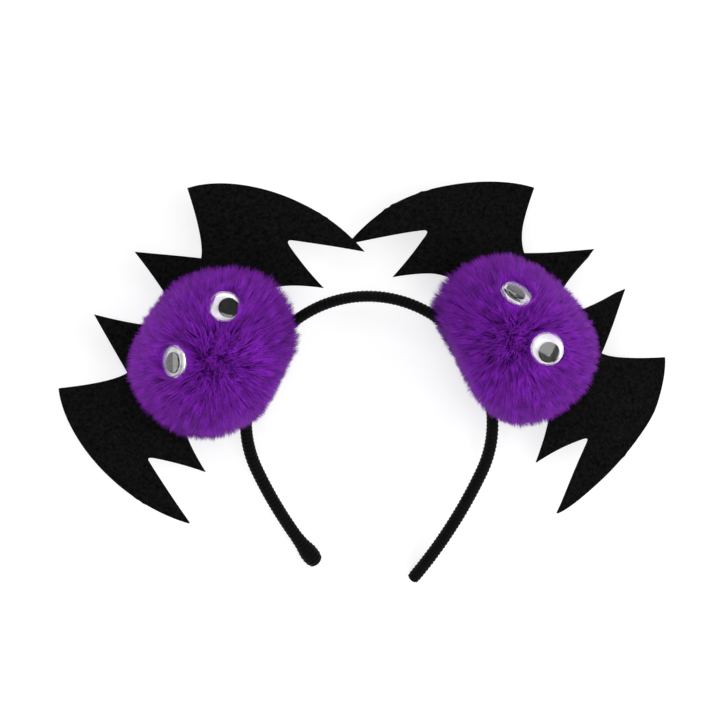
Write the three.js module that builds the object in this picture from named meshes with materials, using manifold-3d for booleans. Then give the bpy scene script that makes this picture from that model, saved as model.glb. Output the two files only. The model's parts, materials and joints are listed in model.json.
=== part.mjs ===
// Bat headband: a thin ribbon-covered band that carries two felt bats. Each bat is one felt sheet, wings and ears,
// with a furry pompom through its middle and two googly eyes on the fur.
// Millimetres. The headband lies on a table: +Z is up from the table, +Y points to the top of the band's arc.
import * as THREE from "three";
import { mergeVertices } from "three/addons/utils/BufferGeometryUtils.js";
import Module from "manifold-3d";

const wasm = await Module();
wasm.setup();

// Gap left between pieces that touch
const gap = 0.3;

// Band: an oval bar bent to an arc that is closed in at its two legs
const bandHalfWidth = 56.6;
const bandRise = 60;
const bandThickness = 5.2;
const legThickness = 6;
const bandDepth = 6.6;
const bandTilt = 14;
// Below its widest point the band turns in, and then each leg goes on bending, more gently
const legTurnRadius = 54.5;
const legTurn = 24;
const legBend = 15;
const leftLegLength = 53.2;
const rightLegLength = 62;
const bandStations = 46;
const bandSides = 10;

// The band's two ends: distance in from the tip, as a share of the leg's thickness, and size as a share of its section
const knobEnd = [
  { back: 0, size: 0.5 },
  { back: 0.18, size: 1.0 },
  { back: 0.6, size: 1.4 },
  { back: 1.2, size: 1.42 },
  { back: 2.0, size: 1.12 },
  { back: 2.8, size: 1 },
];
const bluntEnd = [
  { back: 0, size: 0.62 },
  { back: 0.1, size: 0.88 },
  { back: 0.35, size: 1 },
];

// Felt bat, measured from the middle of its pompom
const feltThickness = 2;
const wingHalfSpan = 76.4;
const earHeight = 55;
const wingDrop = 32.8;
const sheetColumns = 16;
const sheetRows = 6;
const sheetMargin = 1.12;
const curveSteps = 7;
const holeSides = 18;
// Least sum that a corner's growth is divided by, so that a sharp tip doesn't run far out
const mitreLimit = 0.3;

// Right half of the bat's outline from between the ears round to the belly.
// x is a share of the half span. y is a share of the ear height above the middle and of the wing drop below it.
const earRoot = { x: 0.02, y: 0.37 };
const earInnerBend = { x: 0.12, y: 0.58 };
const earTip = { x: 0.222, y: 1 };
const earOuterBend = { x: 0.355, y: 0.65 };
const earFoot = { x: 0.405, y: 0.51 };
const wingTopBend = { x: 0.5, y: 0.56 };
const wingCorner = { x: 0.71, y: 0.92 };
const wingEdgeUpper = { x: 0.925, y: 0.715 };
const wingEdgeLower = { x: 1.1, y: 0.07 };
const wingTip = { x: 0.965, y: -1 };
const fingerBend = { x: 0.86, y: -0.42 };
const notchOuter = { x: 0.79, y: -0.08 };
const notchTop = { x: 0.775, y: -0.03 };
const notchInner = { x: 0.752, y: -0.08 };
const innerFingerBend = { x: 0.69, y: -0.43 };
const innerFingerTip = { x: 0.652, y: -0.8 };
const bellyBend = { x: 0.52, y: -0.12 };
const bellyTop = { x: 0.4, y: -0.12 };
const tabHalfWidth = 0.09;

// Pompom: a ball of fur in locks, pressed flat below by the table and at the side by the band
const pomRadius = 39.8;
const pomHeight = 31;
const lockDepth = 2.2;
const lockRows = 3;
const lockLean = 3.2;
const coreRadius = 8;

// Googly eye: a white back, a loose black pupil and a clear dome
const eyeRadius = 7.5;
const backThickness = 1;
const domeSkirt = 2;
const domeRise = 1.9;
const domeWall = 0.5;
const pupilRadius = 4.65;
const pupilThickness = 0.9;
const eyeSegments = 20;
const capSteps = 4;
const eyeSeat = 34.6;
const seatDepth = 14;

// Where the felt's fold at the ears starts, as a share of the ear height, and its half width, a share of the half span
const foldStart = 0.17;
const foldHalfWidth = 0.215;
// How far the fold opens the sheet out below its start, as a share of its full lean
const foldOpening = 0.25;
// Where a wing's own shift starts and where all of it is reached, as shares of the half span
const shiftStart = 0.3;
const shiftEnd = 0.55;

// One row for each bat. seat: degrees up the arc from its widest point where the bat is tied, up: direction of the ears
// from +X. standOff (from the band to the bat's middle), pomAcross and pomUp (the pompom's own offset) and pressed
// (from its middle to the side that the band flattens, in the direction pressedTurn) are shares of the pompom's radius.
// fold: how far each ear leans in, as a share of the half span.
// wings: droop is how far the wing's tip hangs, slide how far the wing reaches out, turn how much more of that it does
// at the ears' height and bow how much more at the middle, all as shares of the half span.
// lobes: where the fur is swelled or pressed in. toward and rise aim the lobe, edge is the cosine at which it ends, and
// swell is its height as a share of the pompom's radius.
// eyes: at and out (a share of the seat's radius) place the eye on the fur, toward and tilt aim it, and pupilTurn and
// pupilOut (a share of the eye's radius) place its pupil. All turns are in degrees.
const bats = [
  {
    side: "left", hand: -1, seat: 23.1, up: 147.1, standOff: 0.5226, pomAcross: -0.0905, pomUp: 0.0176,
    pressed: 0.879, pressedTurn: -82, fold: 0,
    wings: {
      top: { droop: -0.026, slide: 0, turn: 0, bow: 0 },
      bottom: { droop: 0.092, slide: 0, turn: 0, bow: 0 },
    },
    lobes: [
      { toward: -29, rise: -0.25, edge: 0.75, swell: 0.1 },
      { toward: 90, rise: 0.25, edge: 0.6, swell: -0.15 },
      { toward: -4, rise: 0.35, edge: 0.7, swell: 0.16 },
      { toward: -118, rise: 0, edge: 0.85, swell: -0.07 },
    ],
    eyes: [
      { name: "upper", at: 11.6, out: 0.624, toward: 22.9, tilt: 22, pupilTurn: -57, pupilOut: 0.253 },
      { name: "lower", at: 136.7, out: 0.376, toward: 122.9, tilt: 50, pupilTurn: 152, pupilOut: 0.16 },
    ],
  },
  {
    side: "right", hand: 1, seat: 25.5, up: 37.8, standOff: 0.5126, pomAcross: -0.015, pomUp: -0.005,
    pressed: 0.719, pressedTurn: -104, fold: 0.071,
    wings: {
      top: { droop: 0.039, slide: 0.065, turn: -0.052, bow: 0 },
      bottom: { droop: 0.131, slide: -0.02, turn: 0, bow: -0.046 },
    },
    lobes: [
      { toward: -154, rise: -0.25, edge: 0.75, swell: 0.11 },
      { toward: 93, rise: 0.25, edge: 0.55, swell: -0.17 },
      { toward: 172, rise: 0.35, edge: 0.7, swell: 0.11 },
      { toward: -70, rise: 0, edge: 0.8, swell: -0.13 },
    ],
    eyes: [
      { name: "upper", at: 147.4, out: 0.569, toward: 112.2, tilt: 60, pupilTurn: 159, pupilOut: 0.16 },
      { name: "lower", at: 36.1, out: 0.3555, toward: 52.2, tilt: 5, pupilTurn: -8, pupilOut: 0.253 },
    ],
  },
];

const ribbonBlack = new THREE.MeshStandardMaterial({ color: 0x111113, roughness: 0.75, metalness: 0 });
const feltBlack = new THREE.MeshStandardMaterial({ color: 0x141416, roughness: 1, metalness: 0 });
const furPurple = new THREE.MeshStandardMaterial({ color: 0x6d1f9e, roughness: 0.95, metalness: 0 });
const eyeWhite = new THREE.MeshStandardMaterial({ color: 0xf2f2f0, roughness: 0.5, metalness: 0 });
const eyeBlack = new THREE.MeshStandardMaterial({ color: 0x0a0a0a, roughness: 0.35, metalness: 0 });
const eyeClear = new THREE.MeshStandardMaterial({
  color: 0xffffff, roughness: 0.05, metalness: 0, transparent: true, opacity: 0.25,
});

const radians = THREE.MathUtils.degToRad;
const { lerp, smoothstep } = THREE.MathUtils;

// Closed mesh whose shared corners are merged, ready to be joined or cut
function solidOf(geometry) {
  const bare = geometry.clone();
  bare.deleteAttribute("normal");
  bare.deleteAttribute("uv");
  const merged = mergeVertices(bare, 1e-4);
  return new wasm.Manifold(new wasm.Mesh({
    numProp: 3,
    vertProperties: new Float32Array(merged.attributes.position.array),
    triVerts: new Uint32Array(merged.index.array),
  }));
}

function geometryOf(solid) {
  const mesh = solid.getMesh();
  const geometry = new THREE.BufferGeometry();
  geometry.setAttribute("position", new THREE.BufferAttribute(mesh.vertProperties, 3));
  geometry.setIndex(new THREE.BufferAttribute(mesh.triVerts, 1));
  geometry.computeVertexNormals();
  return geometry;
}

// The largest body of a cut solid: a cut leaves loose crumbs of fur locks, which are dropped
function mainBody(solid) {
  const bodies = solid.decompose();
  return bodies.reduce((best, body) => (body.volume() > best.volume() ? body : best));
}

function named(name, geometry, material) {
  const mesh = new THREE.Mesh(geometry, material);
  mesh.name = name;
  return mesh;
}

// Centre line of the band in its own flat plane, from the tip of the left leg to the tip of the right one
function bandPath() {
  const turn = radians(legTurn);
  const bend = radians(legBend);
  const turnCentre = bandHalfWidth - legTurnRadius;
  // Middle of a leg's gentle bend, seen on the right side
  const bendCentre = (radius) => ({
    x: turnCentre + (legTurnRadius - radius) * Math.cos(turn),
    y: (radius - legTurnRadius) * Math.sin(turn),
  });
  const leftRadius = leftLegLength / bend;
  const rightRadius = rightLegLength / bend;
  const left = bendCentre(leftRadius);
  const right = bendCentre(rightRadius);
  const path = new THREE.Path();
  path.absarc(-left.x, left.y, leftRadius, Math.PI + turn + bend, Math.PI + turn, true);
  path.absarc(-turnCentre, 0, legTurnRadius, Math.PI + turn, Math.PI, true);
  path.absellipse(0, 0, bandHalfWidth, bandRise, Math.PI, 0, true);
  path.absarc(turnCentre, 0, legTurnRadius, 0, -turn, true);
  path.absarc(right.x, right.y, rightRadius, -turn, -turn - bend, true);
  return path;
}

// Where the band's sections stand along its length, with the size of each as a share of the full section
function bandSections(length) {
  const left = knobEnd.map((row) => ({ at: row.back * legThickness, size: row.size }));
  const right = bluntEnd.map((row) => ({ at: length - row.back * legThickness, size: row.size })).reverse();
  const start = left[left.length - 1].at;
  const end = right[0].at;
  const between = [];
  for (let i = 1; i < bandStations; i += 1) {
    between.push({ at: start + ((end - start) * i) / bandStations, size: 1 });
  }
  return [...left, ...between, ...right];
}

// Thickness of the band at a distance along it: thick in its legs, and thinner from their tops to its arc
function thicknessAt(at, length) {
  const aboveLeg = Math.min(at - leftLegLength, length - rightLegLength - at);
  return lerp(legThickness, bandThickness, smoothstep(aboveLeg, 0, bandRise));
}

// The band as a closed bar, larger all round by grow
function bandGeometry(path, grow) {
  const length = path.getLength();
  const sections = bandSections(length);
  const points = [];
  const faces = [];
  for (const { at, size } of sections) {
    const middle = path.getPointAt(at / length);
    const along = path.getTangentAt(at / length);
    const thickness = thicknessAt(at, length);
    for (let k = 0; k < bandSides; k += 1) {
      const turn = (2 * Math.PI * k) / bandSides;
      const across = Math.cos(turn) * ((thickness / 2) * size + grow);
      const up = Math.sin(turn) * ((bandDepth / 2) * size + grow);
      points.push(middle.x - along.y * across, middle.y + along.x * across, up);
    }
  }
  for (let i = 0; i + 1 < sections.length; i += 1) {
    for (let k = 0; k < bandSides; k += 1) {
      const next = (k + 1) % bandSides;
      const a = i * bandSides + k;
      const b = i * bandSides + next;
      faces.push(a, b, a + bandSides, b, b + bandSides, a + bandSides);
    }
  }
  const last = (sections.length - 1) * bandSides;
  for (let k = 1; k + 1 < bandSides; k += 1) {
    faces.push(0, k + 1, k);
    faces.push(last, last + k, last + k + 1);
  }
  const geometry = new THREE.BufferGeometry();
  geometry.setAttribute("position", new THREE.Float32BufferAttribute(points, 3));
  geometry.setIndex(faces);
  return geometry;
}

// Tips the flat band up about the line through its two ends, and stands it on the table
function bandPlace(path, geometry) {
  const left = new THREE.Vector3(...path.getPointAt(0).toArray(), 0);
  const right = new THREE.Vector3(...path.getPointAt(1).toArray(), 0);
  const hinge = right.clone().sub(left).normalize();
  const place = new THREE.Matrix4().makeTranslation(left.x, left.y, 0);
  place.multiply(new THREE.Matrix4().makeRotationAxis(hinge, radians(bandTilt)));
  place.multiply(new THREE.Matrix4().makeTranslation(-left.x, -left.y, 0));
  const tipped = geometry.clone().applyMatrix4(place);
  tipped.computeBoundingBox();
  return place.premultiply(new THREE.Matrix4().makeTranslation(0, 0, -tipped.boundingBox.min.z));
}

// How far the belly tab reaches below the bat's middle: up to the band, which passes it at a slant
function tabReach(bat) {
  const seat = radians(bat.seat);
  const outward = Math.atan2(bandHalfWidth * Math.sin(seat), bat.hand * bandRise * Math.cos(seat));
  const slant = Math.abs(Math.tan(radians(bat.up) - outward));
  return bat.standOff * pomRadius - bandThickness / 2 - gap - slant * tabHalfWidth * wingHalfSpan;
}

// The bat's outline as corner points, anticlockwise, with its belly tab ending tabDrop below the middle
function batOutline(tabDrop) {
  const at = (share) => [share.x * wingHalfSpan, share.y * (share.y > 0 ? earHeight : wingDrop)];
  const half = new THREE.Path();
  half.moveTo(...at(earRoot));
  half.quadraticCurveTo(...at(earInnerBend), ...at(earTip));
  half.quadraticCurveTo(...at(earOuterBend), ...at(earFoot));
  half.quadraticCurveTo(...at(wingTopBend), ...at(wingCorner));
  half.bezierCurveTo(...at(wingEdgeUpper), ...at(wingEdgeLower), ...at(wingTip));
  half.quadraticCurveTo(...at(fingerBend), ...at(notchOuter));
  half.lineTo(...at(notchTop));
  half.lineTo(...at(notchInner));
  half.quadraticCurveTo(...at(innerFingerBend), ...at(innerFingerTip));
  half.quadraticCurveTo(...at(bellyBend), ...at(bellyTop));
  half.lineTo(tabHalfWidth * wingHalfSpan, -tabDrop);
  const right = half.getPoints(curveSteps);
  const left = right.map((p) => new THREE.Vector2(-p.x, p.y)).reverse();
  return [...left, ...right].reverse();
}

// The same outline moved outward by a distance, each corner along the two edges that meet there
function grownOutline(outline, by) {
  return outline.map((point, i) => {
    const before = outline[(i + outline.length - 1) % outline.length];
    const after = outline[(i + 1) % outline.length];
    const first = point.clone().sub(before).normalize();
    const second = after.clone().sub(point).normalize();
    const outward = new THREE.Vector2(first.y + second.y, -first.x - second.x);
    return point.clone().addScaledVector(outward, by / Math.max(mitreLimit, 1 + first.dot(second)));
  });
}

// Where a point of the flat sheet lies once the sheet is folded, shifted and hung, seen from its middle. x and y are
// its place on the flat sheet. The fold leans the ears in towards each other and sinks both sides of the crease.
function onSheet(bat, x, y, lift) {
  const side = Math.sign(x);
  const out = Math.abs(x);
  const wing = side * bat.hand < 0 ? bat.wings.top : bat.wings.bottom;
  const foldWidth = foldHalfWidth * wingHalfSpan;
  const foldShare = (y / earHeight - foldStart) / (1 - foldStart);
  const lean = bat.fold * wingHalfSpan * Math.max(-foldOpening, foldShare);
  const beside = Math.min(1, out / foldWidth);
  const sunk = Math.sqrt(Math.max(0, 2 * foldWidth * lean - lean * lean));
  const bowed = Math.max(0, 1 - (y / wingDrop) ** 2);
  const shift = wing.slide + (wing.turn * y) / earHeight + wing.bow * bowed;
  const shifted = wingHalfSpan * shift * smoothstep(out / wingHalfSpan, shiftStart, shiftEnd);
  const droop = wingHalfSpan * wing.droop * (out / wingHalfSpan) ** 2;
  return new THREE.Vector3(side * (out - beside * lean + shifted), y, lift - droop - beside * sunk);
}

// A closed slab that follows the sheet, wider than the bat all round and half thick each way from its middle layer
function slabGeometry(bat, half) {
  const columns = sheetColumns;
  const rows = sheetRows;
  const points = [];
  const faces = [];
  for (const lift of [half, -half]) {
    for (let j = 0; j <= rows; j += 1) {
      for (let i = 0; i <= columns; i += 1) {
        const x = sheetMargin * wingHalfSpan * ((2 * i) / columns - 1);
        const y = sheetMargin * (((earHeight + wingDrop) * j) / rows - wingDrop);
        points.push(...onSheet(bat, x, y, lift).toArray());
      }
    }
  }
  const index = (layer, i, j) => layer * (rows + 1) * (columns + 1) + j * (columns + 1) + i;
  const quad = (a, b, c, d) => faces.push(a, b, c, a, c, d);
  for (let j = 0; j < rows; j += 1) {
    for (let i = 0; i < columns; i += 1) {
      quad(index(0, i, j), index(0, i + 1, j), index(0, i + 1, j + 1), index(0, i, j + 1));
      quad(index(1, i, j), index(1, i, j + 1), index(1, i + 1, j + 1), index(1, i + 1, j));
    }
    quad(index(0, 0, j), index(0, 0, j + 1), index(1, 0, j + 1), index(1, 0, j));
    quad(index(0, columns, j), index(1, columns, j), index(1, columns, j + 1), index(0, columns, j + 1));
  }
  for (let i = 0; i < columns; i += 1) {
    quad(index(0, i, 0), index(1, i, 0), index(1, i + 1, 0), index(0, i + 1, 0));
    quad(index(0, i, rows), index(0, i + 1, rows), index(1, i + 1, rows), index(1, i, rows));
  }
  const geometry = new THREE.BufferGeometry();
  geometry.setAttribute("position", new THREE.Float32BufferAttribute(points, 3));
  geometry.setIndex(faces);
  return geometry;
}

// The felt sheet with its hole for the pompom's core, larger all round by grow
function feltSolid(bat, grow) {
  const laid = batOutline(tabReach(bat)).map((point) => {
    const place = onSheet(bat, point.x, point.y, 0);
    return new THREE.Vector2(place.x, place.y);
  });
  const shape = new THREE.Shape(grownOutline(laid, grow));
  shape.holes.push(new THREE.Path().absarc(0, 0, coreRadius + gap - grow, 0, 2 * Math.PI, true));
  const depth = 4 * pomHeight;
  const cutter = new THREE.ExtrudeGeometry(shape, {
    depth, bevelEnabled: false, steps: 1, curveSegments: holeSides,
  });
  cutter.translate(0, 0, -depth / 2);
  return solidOf(slabGeometry(bat, feltThickness / 2 + grow)).intersect(solidOf(cutter));
}

// How far the fur reaches in a direction, as a share of the pompom's radius: flattened where it leans on the band,
// swelled over the band beside it and towards the top wing, and pressed in by the ears
function furReach(bat, direction) {
  const pressTurn = radians(bat.pressedTurn);
  const press = new THREE.Vector3(Math.cos(pressTurn), Math.sin(pressTurn), 0);
  let reach = 1 / Math.max(1, direction.dot(press) / bat.pressed);
  for (const { toward, rise, edge, swell } of bat.lobes) {
    const turn = radians(toward);
    const middle = new THREE.Vector3(Math.cos(turn), Math.sin(turn), rise).normalize();
    const near = Math.max(0, direction.dot(middle) - edge) / (1 - edge);
    reach += swell * near * near;
  }
  return reach;
}

// A ball of locks: each face of a round mesh is raised to a point that leans away from the crown of the fur
function furSolid(bat) {
  const ball = new THREE.IcosahedronGeometry(1, lockRows);
  const corners = ball.attributes.position;
  const crown = new THREE.Vector3(0, 0, 1);
  const points = [];
  for (let i = 0; i < corners.count; i += 3) {
    const foot = [0, 1, 2].map((k) => new THREE.Vector3().fromBufferAttribute(corners, i + k).normalize());
    const tip = foot[0].clone().add(foot[1]).add(foot[2]).normalize();
    const lean = tip.clone().multiplyScalar(tip.dot(crown)).sub(crown);
    tip.addScaledVector(lean, lockLean / pomRadius).normalize();
    const tipPoint = tip.clone().multiplyScalar(pomRadius * furReach(bat, tip));
    const footPoints = foot.map((u) => u.clone().multiplyScalar((pomRadius - lockDepth) * furReach(bat, u)));
    for (let k = 0; k < 3; k += 1) {
      points.push(...footPoints[k].toArray());
      points.push(...footPoints[(k + 1) % 3].toArray());
      points.push(...tipPoint.toArray());
    }
  }
  const geometry = new THREE.BufferGeometry();
  geometry.setAttribute("position", new THREE.Float32BufferAttribute(points, 3));
  return solidOf(geometry.translate(bat.pomAcross * pomRadius, bat.pomUp * pomRadius, 0));
}

// Space below the table's top, seen from the pompom's middle
function belowTable() {
  const size = 4 * pomRadius;
  return solidOf(new THREE.BoxGeometry(size, size, size).translate(0, 0, -pomHeight - size / 2));
}

// Place of an eye on its pompom, its back face at the origin and +Z straight out of its dome
function eyePlace(bat, eye) {
  const at = radians(eye.at);
  const toward = radians(eye.toward);
  const tilt = radians(eye.tilt);
  const out = eye.out * eyeSeat;
  const rise = Math.sqrt(eyeSeat * eyeSeat - out * out);
  const aim = new THREE.Vector3(Math.sin(tilt) * Math.cos(toward), Math.sin(tilt) * Math.sin(toward), Math.cos(tilt));
  const turn = new THREE.Quaternion().setFromUnitVectors(new THREE.Vector3(0, 0, 1), aim);
  const point = new THREE.Vector3(out * Math.cos(at), out * Math.sin(at), rise);
  point.add(new THREE.Vector3(bat.pomAcross, bat.pomUp, 0).multiplyScalar(pomRadius));
  return new THREE.Matrix4().compose(point, turn, new THREE.Vector3(1, 1, 1));
}

// A disc whose axis is +Z, standing on the height given
function disc(radius, thickness, height) {
  const round = new THREE.CylinderGeometry(radius, radius, thickness, eyeSegments);
  return round.rotateX(Math.PI / 2).translate(0, 0, height + thickness / 2);
}

// Seat that an eye presses into the fur, open above it
function seatSolid(bat, eye) {
  return solidOf(disc(eyeRadius + gap, seatDepth, -gap).applyMatrix4(eyePlace(bat, eye)));
}

// Clear dome: a short skirt under a low cap, of one wall thickness and open below
function domeGeometry() {
  const profile = [];
  for (let i = 0; i <= capSteps; i += 1) {
    const turn = (Math.PI / 2) * (1 - i / capSteps);
    profile.push(new THREE.Vector2(eyeRadius * Math.cos(turn), domeSkirt + domeRise * Math.sin(turn)));
  }
  profile.push(new THREE.Vector2(eyeRadius, 0));
  profile.push(new THREE.Vector2(eyeRadius - domeWall, 0));
  for (let i = capSteps; i >= 0; i -= 1) {
    const turn = (Math.PI / 2) * (1 - i / capSteps);
    const inner = eyeRadius - domeWall;
    profile.push(new THREE.Vector2(inner * Math.cos(turn), domeSkirt + (domeRise - domeWall) * Math.sin(turn)));
  }
  profile[0].x = 0;
  profile[profile.length - 1].x = 0;
  const dome = new THREE.LatheGeometry(profile.reverse(), eyeSegments);
  return dome.rotateX(Math.PI / 2).translate(0, 0, backThickness + gap);
}

function eyeGroup(bat, eye) {
  const group = new THREE.Group();
  const suffix = `${bat.side}_${eye.name}`;
  const pupilTurn = radians(eye.pupilTurn);
  const pupil = disc(pupilRadius, pupilThickness, backThickness + gap);
  const pupilOut = eye.pupilOut * eyeRadius;
  pupil.translate(pupilOut * Math.cos(pupilTurn), pupilOut * Math.sin(pupilTurn), 0);
  group.add(named(`eye_back_${suffix}`, disc(eyeRadius, backThickness, 0), eyeWhite));
  group.add(named(`eye_pupil_${suffix}`, pupil, eyeBlack));
  group.add(named(`eye_dome_${suffix}`, domeGeometry(), eyeClear));
  group.applyMatrix4(eyePlace(bat, eye));
  return group;
}

// One bat: its felt sheet, its pompom cut by all that goes through it, and its eyes
function batGroup(bat, path, place) {
  const seat = radians(bat.seat);
  const tied = new THREE.Vector3(bat.hand * bandHalfWidth * Math.cos(seat), bandRise * Math.sin(seat), 0);
  tied.applyMatrix4(place);
  const up = radians(bat.up);
  const group = new THREE.Group();
  const standOff = bat.standOff * pomRadius;
  group.position.set(tied.x + standOff * Math.cos(up), tied.y + standOff * Math.sin(up), pomHeight);
  group.rotation.z = up - Math.PI / 2;
  group.updateMatrix();
  const wideBand = bandGeometry(path, gap).applyMatrix4(group.matrix.clone().invert().multiply(place));
  let fur = furSolid(bat).subtract(belowTable()).subtract(solidOf(wideBand)).subtract(feltSolid(bat, gap));
  for (const eye of bat.eyes) {
    fur = fur.subtract(seatSolid(bat, eye));
    group.add(eyeGroup(bat, eye));
  }
  group.add(named(`felt_bat_${bat.side}`, geometryOf(feltSolid(bat, 0)), feltBlack));
  group.add(named(`pompom_${bat.side}`, geometryOf(mainBody(fur)), furPurple));
  return group;
}

function headband() {
  const path = bandPath();
  const bar = bandGeometry(path, 0);
  const place = bandPlace(path, bar);
  const model = new THREE.Group();
  model.add(named("headband", bar.applyMatrix4(place), ribbonBlack));
  for (const bat of bats) {
    model.add(batGroup(bat, path, place));
  }
  model.updateMatrixWorld(true);
  const middle = new THREE.Box3().setFromObject(model, true).getCenter(new THREE.Vector3());
  model.position.set(-middle.x, -middle.y, 0);
  model.updateMatrixWorld(true);
  return model;
}

export default headband();
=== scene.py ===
"""Bat headband: the look of its ribbon band, felt bats, fur pompoms and googly eyes, dressed over the CAD
frame.

Lengths in the code are metres. Sizes are typed in millimetres and multiplied by MM.
"""

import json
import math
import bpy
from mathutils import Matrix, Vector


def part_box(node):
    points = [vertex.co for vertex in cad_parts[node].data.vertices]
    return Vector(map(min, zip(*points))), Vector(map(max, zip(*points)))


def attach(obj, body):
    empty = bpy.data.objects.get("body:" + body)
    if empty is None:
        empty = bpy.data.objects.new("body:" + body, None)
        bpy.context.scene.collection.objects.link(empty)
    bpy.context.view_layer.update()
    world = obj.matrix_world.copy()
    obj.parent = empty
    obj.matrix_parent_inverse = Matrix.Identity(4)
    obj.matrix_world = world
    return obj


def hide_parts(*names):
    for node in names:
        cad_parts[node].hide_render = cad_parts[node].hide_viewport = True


bl_info = {
    "name": "Bat Headband",
    "version": (1, 0, 0),
    "blender": (4, 5, 0),
    "location": "View3D > Sidebar > Bat Headband",
    "description": "Makes the ribbon, felt, fur and eyes of a headband with two bats",
    "category": "Add Mesh",
}

import bpy
import numpy as np
from mathutils import Vector

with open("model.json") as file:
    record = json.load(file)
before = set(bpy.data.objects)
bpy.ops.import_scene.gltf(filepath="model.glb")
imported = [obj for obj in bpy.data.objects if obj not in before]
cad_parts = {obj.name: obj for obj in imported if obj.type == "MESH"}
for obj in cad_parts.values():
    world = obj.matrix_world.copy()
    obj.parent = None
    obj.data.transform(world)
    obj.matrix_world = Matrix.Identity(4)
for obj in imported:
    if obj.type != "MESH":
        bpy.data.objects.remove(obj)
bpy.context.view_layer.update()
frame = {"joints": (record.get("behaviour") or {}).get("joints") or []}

MM = 0.001
ROOT = "root"
UP = np.array([0.0, 0.0, 1.0])
GOLDEN_ANGLE = math.pi * (3 - math.sqrt(5))

# Band, as the frame's bar: an oval section bent to an arc that turns in below its widest point and goes on
# bending more gently along its two legs
BAND_HALF_WIDTH = 56.6 * MM
BAND_RISE = 60 * MM
BAND_TILT = 14
LEG_TURN_RADIUS = 54.5 * MM
LEG_TURN = 24
LEG_BEND = 15
LEFT_LEG = 53.2 * MM
RIGHT_LEG = 62 * MM
# Sizes of the knob on the left tip and the blunt right tip: distance in from the tip as a share of the leg's
# thickness, and size as a share of its section
KNOB_END = (
    (0, 0.5), (0.06, 0.82), (0.18, 1.1), (0.4, 1.3), (0.7, 1.42),
    (1.2, 1.42), (1.6, 1.28), (2.0, 1.12), (2.8, 1),
)
BLUNT_END = ((0, 0.6), (0.05, 0.8), (0.15, 0.93), (0.35, 1))
# Length of a ring of faces and their number round the bar. Wound ribbon: the last share of each turn, over
# which its step drops, how deep its edge lies under the bar's own surface as a share of the step, and the
# light and shade painted over the turn, as (share, brightness): a painted highlight along its raised part and
# painted shade down at the step where the next turn begins
BAND_STEP = 0.24 * MM
BAND_AROUND = 32
STEP_DROP = 0.18
STEP_SINK = 0.75
RIBBON_PAINTED_SHADES = ((0.0, 0.05), (0.2, 0.8), (0.5, 1.3), (0.72, 1.7), (0.88, 0.4), (1.0, 0.05))

# Felt bat, measured from the middle of its pompom
WING_HALF_SPAN = 76.4 * MM
EAR_HEIGHT = 55 * MM
WING_DROP = 32.8 * MM
TAB_HALF_WIDTH = 0.09
CORE_HOLE = 8.3 * MM
FOLD_START = 0.17
FOLD_HALF_WIDTH = 0.215
FOLD_OPENING = 0.25
FOLD_SOFTNESS = 0.07
CREASE_EASE = 0.5 * MM
SHIFT_START = 0.3
SHIFT_END = 0.55
# Points on each curve of the outline and on the wing's edge, most width of a column of the sheet, columns
# at the end of the wing, and rows in each half
CURVE_POINTS = 60
EDGE_POINTS = 300
FELT_STEP = 0.8 * MM
END_COLUMNS = 13
FELT_ROWS = 26
# Slow waves: how far out they start, over how much they grow, and their lengths across and along
WAVE_START = 30 * MM
WAVE_GROWTH = 25 * MM
WAVE_ACROSS = 9 * MM
WAVE_ALONG = 8 * MM
# Right half of the bat's outline. x is a share of the half span, and y a share of the ear height above the
# middle and of the wing drop below it. Each curve has its two ends and the points that bend it.
UPPER_CURVES = (
    ((0, 0.37), (0.02, 0.37)),
    ((0.02, 0.37), (0.12, 0.58), (0.222, 1)),
    ((0.222, 1), (0.355, 0.65), (0.405, 0.51)),
    ((0.405, 0.51), (0.5, 0.56), (0.71, 0.92)),
)
WING_EDGE = ((0.71, 0.92), (0.925, 0.69), (1.1, 0.01), (0.965, -1))
LOWER_CURVES = (
    ((0.4, -0.12), (0.52, -0.12), (0.652, -0.8)),
    ((0.652, -0.8), (0.69, -0.43), (0.752, -0.08)),
    ((0.752, -0.08), (0.772, 0.02), (0.79, -0.08)),
    ((0.79, -0.08), (0.86, -0.42), (0.965, -1)),
)

# Pompom
POM_RADIUS = 39.8 * MM
POM_HEIGHT = 31 * MM

# Core under the fur: its radius, how much further it reaches at the crown, its least radius, its clearance
# from the band's centre line, how far it stays under an eye's back within a distance of the eye's axis and
# how steeply it may rise beyond that, and the half height and angle of the slot for the felt
CORE_RADIUS = 30 * MM
CORE_CROWN = 3 * MM
CORE_LEAST = 12 * MM
CORE_BAND_GAP = 5.2 * MM
CORE_EYE_GAP = 1.2 * MM
CORE_EYE_REACH = 8.6 * MM
CORE_EYE_SLOPE = 1.2
CORE_SLOT = 1.7 * MM
CORE_SLOT_ANGLE = 0.09

# Strands: spread of how strongly locks gather them, mean and spread of a lock's reach, and two chance
# turns, of a whole lock and of a strand by itself, each with what is added to it near the crown
LOCK_PULL = (0.15, 0.65)
LOCK_REACH = (0.985, 0.014)
LOCK_TURN = (0.03, 0.07)
STRAND_TURN = (0.015, 0.045)
# Longest strand as a share of its lock's reach, spread of what is missing from it, and power by which it
# bends
LONGEST = 1.015
LENGTH_SPREAD = 0.045
BEND_POWER = 1.6

# Clearances of the strands: from the felt's middle layer, past its outline, from the band's centre line,
# and from the table, with a chance part
FELT_GAP = 1.5 * MM
FELT_MARGIN = 0.8 * MM
BAND_GAP_ACROSS = 3.1 * MM
BAND_GAP_ABOVE = 3.8 * MM
TABLE_GAP = 0.35 * MM
TABLE_GAP_SPREAD = 1.2 * MM

# Round an eye: radius of the ring that strands stay out of, the depth under the eye's back at which it
# starts, the rise over which it widens, and for a strand that rests on the dome its height at the rim, its
# gap to the dome and the height that its lap is measured at
EYE_RING = 8.3 * MM
RING_DEPTH = 9.5 * MM
RING_RISE = 4.5 * MM
RIM_HEIGHT = 4.1 * MM
REST_GAP = 0.35 * MM
REST_HEIGHT = 4.4 * MM
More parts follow.
